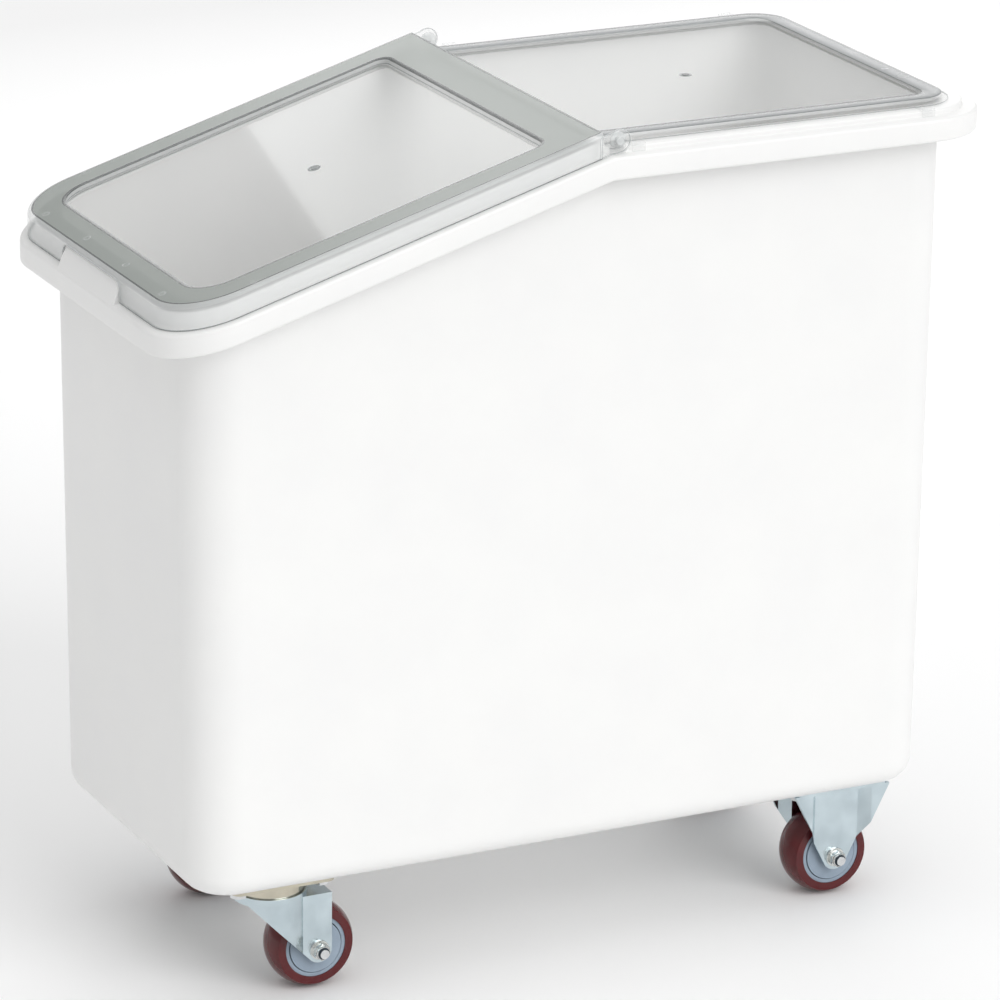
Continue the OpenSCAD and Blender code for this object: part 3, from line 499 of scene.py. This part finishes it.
# Rear lid, from the underside of the panel out to the margin and back over the bead
def rear_lid_mesh():
    xs = [60, 110, 160, 210, 260, 300]
    ys = mirrored([30, 60, 90, 120])
    low, top, crest = REAR_LOW, REAR_TOP, REAR_TOP + BEAD_H
    hollow_in, hollow_out = BEAD_IN - REAR_SHEET, BEAD_OUT + REAR_SHEET
    # In the section, the grey rings at the bottom edge and the bead's inner edge are painted shade, the
    # whitish rings on the bead's sides are painted highlight, and the bead's dark grey is partly painted
    # shade
    section = [
        (BEAD_IN + 3.5, low, INNER), (hollow_in + 0.7, low, INNER), (hollow_in, low + 0.7, INNER),
        (hollow_in, low + BEAD_H, INNER), (hollow_out, low + BEAD_H, INNER), (hollow_out, low + 0.5, INNER),
        (hollow_out - 0.5, low, INNER), (0.4, low, LINE_PAINTED_SHADE), (0.0, low + 0.4, LINE_PAINTED_SHADE), (0.0, low + 0.9, CLEAR),
        (0.0, top - 0.5, CLEAR), (0.5, top, CLEAR), (BEAD_OUT - 0.5, top, CLEAR), (BEAD_OUT, top + 0.5, EDGE_PAINTED_HIGHLIGHT),
        (BEAD_OUT, crest - 1.0, EDGE_PAINTED_HIGHLIGHT), (BEAD_OUT + 0.3, crest - 0.3, BEAD_TINT_AND_SHADE), (BEAD_OUT + 1.0, crest, BEAD_TINT_AND_SHADE),
        (BEAD_IN - 1.0, crest, BEAD_TINT_AND_SHADE), (BEAD_IN - 0.3, crest - 0.3, LINE_PAINTED_SHADE), (BEAD_IN, crest - 1.0, EDGE_PAINTED_HIGHLIGHT),
        (BEAD_IN, top + 0.5, EDGE_PAINTED_HIGHLIGHT), (BEAD_IN + 0.5, top, PANE), (BEAD_IN + 5.5, top, PANE)]
    rings, looks = [], []
    for k, (inset, z, look) in enumerate(section):
        front = REAR_FRONT + SLIVER * min(k, len(section) - 1 - k)
        edge = REAR_INSET + inset
        rings.append(stack(outline(front, HALF_L - edge, HALF_W - edge, SOFT, RIM_R - edge, xs, ys), z))
        looks.append(look)
    return loft(rings, looks)


def bar(x0, x1, y0, y1, z0, z1, r, look):
    """Box with its upright and top edges rounded."""
    cx, cy = (x0 + x1) / 2, (y0 + y1) / 2
    rings = []
    for back, z in [(0.0, z0)] + [(back, z1 - r + up) for back, up in arc_steps(r, 3)]:
        hx, hy, corner_r = (x1 - x0) / 2 - back, (y1 - y0) / 2 - back, max(r - back, 0.02)
        pts = []
        for sx, sy, start in ((1, 1, 0), (-1, 1, 90), (-1, -1, 180), (1, -1, 270)):
            for i in range(5):
                t = math.radians(start + 90.0 * i / 4)
                pts.append((cx + sx * (hx - corner_r) + corner_r * math.cos(t),
                            cy + sy * (hy - corner_r) + corner_r * math.sin(t), z))
        rings.append(np.array(pts))
    return loft(rings, [look] * len(rings))


def round_bar(x, z, r, y0, y1, soft, look):
    """Round bar along Y between two levels, with a soft edge at y1."""
    way = 1 if y1 > y0 else -1
    rings = []
    for y, d in [(y0, r)] + [(y1 - way * (soft - up), r - back) for back, up in arc_steps(soft, 3)]:
        rings.append(np.array([(x + d * math.cos(t), y, z - way * d * math.sin(t)) for t in full_turn(40)]))
    return loft(rings, [look] * len(rings))


# Moulding marks on the lids
def ring_mark(centre, normal, r0, r1, tall, look):
    """Low ring on a face."""
    n = Vector(normal).normalized()
    u = n.orthogonal().normalized()
    v = n.cross(u)
    sunk, soft = 0.3, 0.2
    section = ((r0, -sunk), (r1, -sunk), (r1, tall / 2), (r1 - soft, tall), (r0 + soft, tall), (r0, tall / 2))
    rings = [np.array([tuple(Vector(centre) + n * h + (u * math.cos(t) + v * math.sin(t)) * d)
                       for t in full_turn(24)]) for d, h in section]
    return tube(rings, [look] * len(rings))


def gate_mark(centre, normal, look):
    """Mark where the plastic ran in, a spot with a halo."""
    # The halo's grey is painted shade; the spot takes its caller's look, which is painted shade too
    halo = ring_mark(centre, normal, r0=3.4, r1=5.6, tall=0.15, look=LINE_PAINTED_SHADE)
    spot = ring_mark(centre, normal, r0=0.3, r1=3.0, tall=0.5, look=look)
    return joined([halo, spot])


def front_lid_marks():
    up_slope = (-SLOPE, 0, 1)
    gate = (FRONT_GATE_X, 0, FRONT_TOP - PANEL_DEPTH + drop(FRONT_GATE_X))
    meshes = [gate_mark(gate, up_slope, LINE_PAINTED_SHADE)]
    for x, half in BAND_MARKS:
        for y in (half, -half):
            place = (x, y, FRONT_TOP + drop(x))
            # Ejector marks in the whitish edge look: painted highlight on their rims
            meshes.append(ring_mark(place, up_slope, r0=2.3, r1=3.4, tall=0.12, look=EDGE_PAINTED_HIGHLIGHT))
    return joined(meshes)


def rear_lid_fittings():
    """Tongue under the front lid, and on each side the hinge lug with its pin and arm, and two hooks."""
    edge_y, lug_r = HALF_W - LUG_INSET, PIN_R + LUG_WALL
    arm_y = HALF_W - REAR_INSET - 1
    foot = LEDGE_Z + LID_GAP
    hooks = (HINGE_X + lug_r + HOOK_GAP + HOOK_HALF, HALF_L - RIM_R - HOOK_HALF)
    meshes = [
        bar(TONGUE_X, REAR_FRONT + 1, -TONGUE_HALF, TONGUE_HALF, REAR_LOW, REAR_TOP, 0.5, CLEAR),
        bar(TONGUE_X, TONGUE_X + REAR_SHEET, -TONGUE_HALF, TONGUE_HALF, REAR_LOW + 0.5, REAR_TOP + 3.5,
            SOFT, CLEAR)]
    for side in (-1, 1):
        inner_y = edge_y - LUG_THICK
        y0, y1 = sorted((side * inner_y, side * edge_y))
        a0, a1 = sorted((side * arm_y, side * edge_y))
        meshes += [
            # Lug and pin in the whitish edge look: painted highlight
            round_bar(HINGE_X, HINGE_Z, lug_r, side * inner_y, side * edge_y, 0.4, EDGE_PAINTED_HIGHLIGHT),
            round_bar(HINGE_X, HINGE_Z, PIN_R, side * (edge_y - 0.5), side * (edge_y + 3.9), 0.6, EDGE_PAINTED_HIGHLIGHT),
            bar(HINGE_X - lug_r, HINGE_X + lug_r, y0, y1, foot, HINGE_Z, 0.3, CLEAR),
            bar(HINGE_X - lug_r, HINGE_X + lug_r, a0, a1, REAR_LOW, REAR_TOP, 0.5, CLEAR)]
        for x in hooks:
            meshes += [bar(x - HOOK_HALF, x + HOOK_HALF, a0, a1, REAR_LOW, REAR_TOP, 0.5, CLEAR),
                       bar(x - HOOK_HALF, x + HOOK_HALF, y0, y1, foot, REAR_TOP, 0.6, CLEAR)]
    return joined(meshes)


def nut_mesh(x, side):
    """Lock nut with a washer, a chamfered hexagon, a round collar and a dark nylon ring."""
    flats, bore, washer_r = 6.5, 4.1, 8.5
    corner = flats / math.cos(math.radians(30))
    section = [
        (bore, 0.0, True, NUT), (washer_r, 0.0, True, NUT), (washer_r, 1.2, True, NUT),
        (washer_r - 0.3, 1.5, True, NUT), (flats + 0.1, 1.5, False, NUT), (corner, 2.1, False, NUT),
        (corner, 6.9, False, NUT), (flats, 7.5, False, NUT), (6.1, 7.5, True, NUT),
        (6.0, 8.9, True, NUT), (5.6, 9.5, True, NUT), (5.3, 9.5, True, NYLON),
        (5.1, 9.1, True, NYLON), (bore, 9.1, True, NUT)]
    rings, looks = [], []
    for r, out, is_round, look in section:
        pts = []
        for a in full_turn(60):
            turn = (math.degrees(a) + 30.0) % 60.0 - 30.0
            d = r if is_round else min(r, flats / math.cos(math.radians(turn)))
            pts.append((x + d * math.cos(a), side * (HALF_TRACK + LEG_FACE + out), AXLE_Z + d * math.sin(a)))
        rings.append(np.array(pts))
        looks.append(look)
    return tube(rings, looks, side > 0)


# The scene's own pieces, each in place of the CAD node that it dresses
tub = mesh_object("tub_skin", joined([tub_mesh(), pad_mesh()]), "bin")
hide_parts("tub")

front_meshes = [front_lid_mesh(), ear_mesh(-1), ear_mesh(1), front_lid_marks()]
front = mesh_object("front_lid_skin", joined(front_meshes), "front_lid")
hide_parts("front_lid")

# Rear gate spot in the near black look: painted shade
rear_gate = gate_mark((REAR_GATE_X, 0, REAR_TOP), (0, 0, 1), DARK_PAINTED_SHADE)
rear_meshes = [rear_lid_mesh(), rear_lid_fittings(), rear_gate]
rear = mesh_object("rear_lid_skin", joined(rear_meshes), "rear_lid")
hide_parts("rear_lid")

for end, x in (("front", FRONT_AXLE_X), ("rear", REAR_AXLE_X)):
    for hand, side in (("right", -1), ("left", 1)):
        body = f"swivel_{hand}" if end == "front" else "bin"
        nut = mesh_object(f"{end}_nut_{hand}", nut_mesh(x, side), body)
        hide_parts(f"{end}_lock_nut_{hand}")


# Floor, light and camera
def floor_material():
    m = bpy.data.materials.new("studio floor")
    m.use_nodes = True
    bsdf = m.node_tree.nodes["Principled BSDF"]
    noise = m.node_tree.nodes.new("ShaderNodeTexNoise")
    noise.inputs["Scale"].default_value = 3.0
    ramp = m.node_tree.nodes.new("ShaderNodeValToRGB")
    ramp.color_ramp.elements[0].color = (0.94, 0.94, 0.94, 1)
    ramp.color_ramp.elements[1].color = (0.95, 0.95, 0.95, 1)
    m.node_tree.links.new(noise.outputs["Fac"], ramp.inputs["Fac"])
    m.node_tree.links.new(ramp.outputs["Color"], bsdf.inputs["Base Color"])
    bsdf.inputs["Roughness"].default_value = 0.7
    bsdf.inputs["Specular IOR Level"].default_value = 0.2
    return m


bpy.ops.mesh.primitive_plane_add(size=40, location=(0, 0, 0))
floor = bpy.context.object
floor.name = "studio_floor"
floor.data.materials.append(floor_material())

world = bpy.data.worlds.new("studio")
scene.world = world
world.use_nodes = True
world.node_tree.nodes["Background"].inputs["Color"].default_value = (1.0, 1.0, 1.0, 1)
world.node_tree.nodes["Background"].inputs["Strength"].default_value = 0.52


def stage_light(name, data, way, place=(0, 0, 0)):
    """Light that shines along a direction."""
    ob = bpy.data.objects.new(name, data)
    ob.location = place
    ob.rotation_euler = Vector(way).to_track_quat("-Z", "Y").to_euler()
    scene.collection.objects.link(ob)


def far_light(name, way, strength, spread):
    """Soft light from far away."""
    data = bpy.data.lights.new(name, "SUN")
    data.energy = strength
    data.angle = math.radians(spread)
    stage_light(name, data, way)


def card_light(name, place, way, wide, high, strength):
    """Large soft card behind the bin, that the glossy lids mirror."""
    data = bpy.data.lights.new(name, "AREA")
    data.shape = "RECTANGLE"
    data.size, data.size_y = wide, high
    data.energy = strength
    stage_light(name, data, way, place)


far_light("key", way=(-0.25, 0.80, -0.50), strength=1.25, spread=40)
far_light("top", way=(0.05, 0.10, -1.0), strength=0.8, spread=70)
card_light("card", place=(1.56, 3.0, 2.05), way=(0.0, -1.0, -0.05), wide=2.3, high=2.2, strength=24)


def look_camera(place, azimuth, elevation, roll, focal_pixels, picture_pixels=1000.0):
    az, el, ro = (math.radians(v) for v in (azimuth, elevation, roll))
    back = Vector((math.sin(az) * math.cos(el), -math.cos(az) * math.cos(el), math.sin(el)))
    level = Vector((math.cos(az), math.sin(az), 0.0))
    upright = back.cross(level)
    right = math.cos(ro) * level + math.sin(ro) * upright
    up = -math.sin(ro) * level + math.cos(ro) * upright
    data = bpy.data.cameras.new("photo camera")
    data.sensor_width = 36.0
    data.lens = focal_pixels * data.sensor_width / picture_pixels
    data.clip_end = 100.0
    ob = bpy.data.objects.new("photo camera", data)
    rows = Matrix((right, up, back)).transposed().to_4x4()
    ob.matrix_world = Matrix.Translation(Vector(place)) @ rows
    scene.collection.objects.link(ob)
    scene.camera = ob


# The camera was fitted with a rim 749 mm long, so its place is scaled to the rim of the part
FITTED_RIM = 749.0
FITTED_PLACE = (-1.94842, -4.01838, 1.87978)
camera_place = [c * 2 * HALF_L / FITTED_RIM for c in FITTED_PLACE]
look_camera(camera_place, azimuth=-25.92, elevation=18.75, roll=0.60, focal_pixels=5516.55)
scene.view_settings.view_transform = "Standard"
